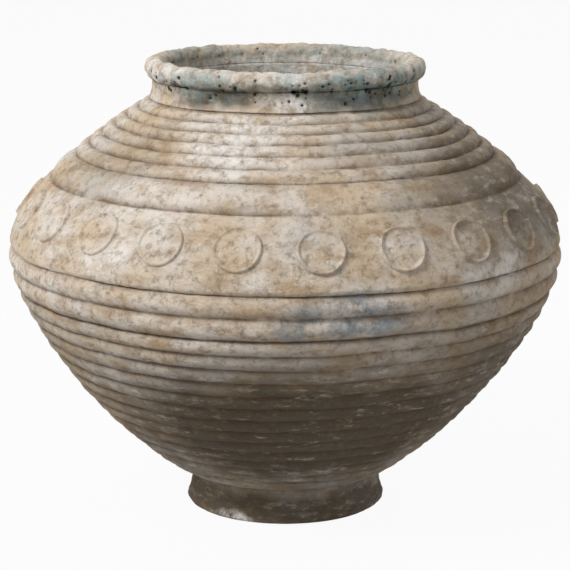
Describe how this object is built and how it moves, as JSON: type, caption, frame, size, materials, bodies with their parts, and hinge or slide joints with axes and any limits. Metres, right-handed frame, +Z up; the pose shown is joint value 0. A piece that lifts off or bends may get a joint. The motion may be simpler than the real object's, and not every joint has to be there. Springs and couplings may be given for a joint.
{
  "type": "ceramic storage jar",
  "caption": "Wide ribbed storage jar with a rolled rim, short neck, shoulder frieze of stamped discs, keeled belly and low foot ring; stands free and holds goods.",
  "frame": {"origin": "on the jar's axis, at the level its foot stands on", "axes": "+Z up along the jar's axis, -Y towards the side seen in the picture"},
  "size_m": [0.421, 0.421, 0.3446],
  "materials": {
    "pale_clay": "matt weathered fired clay, sandy beige",
    "dark_clay": "matt weathered fired clay, stained brown-grey",
    "glazed_clay": "worn remains of a pale blue-green glaze on fired clay"
  },
  "bodies": {
    "root": {"foot_ring": "dark_clay", "lower_body": "dark_clay", "upper_body": "pale_clay", "neck_collar": "glazed_clay", "rolled_rim": "glazed_clay", "medallion_01": "pale_clay", "medallion_02": "pale_clay", "medallion_03": "pale_clay", "medallion_04": "pale_clay", "medallion_05": "pale_clay", "medallion_06": "pale_clay", "medallion_07": "pale_clay", "medallion_08": "pale_clay", "medallion_09": "pale_clay", "medallion_10": "pale_clay", "medallion_11": "pale_clay", "medallion_12": "pale_clay", "medallion_13": "pale_clay", "medallion_14": "pale_clay", "medallion_15": "pale_clay", "medallion_16": "pale_clay", "medallion_17": "pale_clay", "medallion_18": "pale_clay", "medallion_19": "pale_clay", "medallion_20": "pale_clay", "medallion_21": "pale_clay", "medallion_22": "pale_clay"}
  },
  "joints": []
}
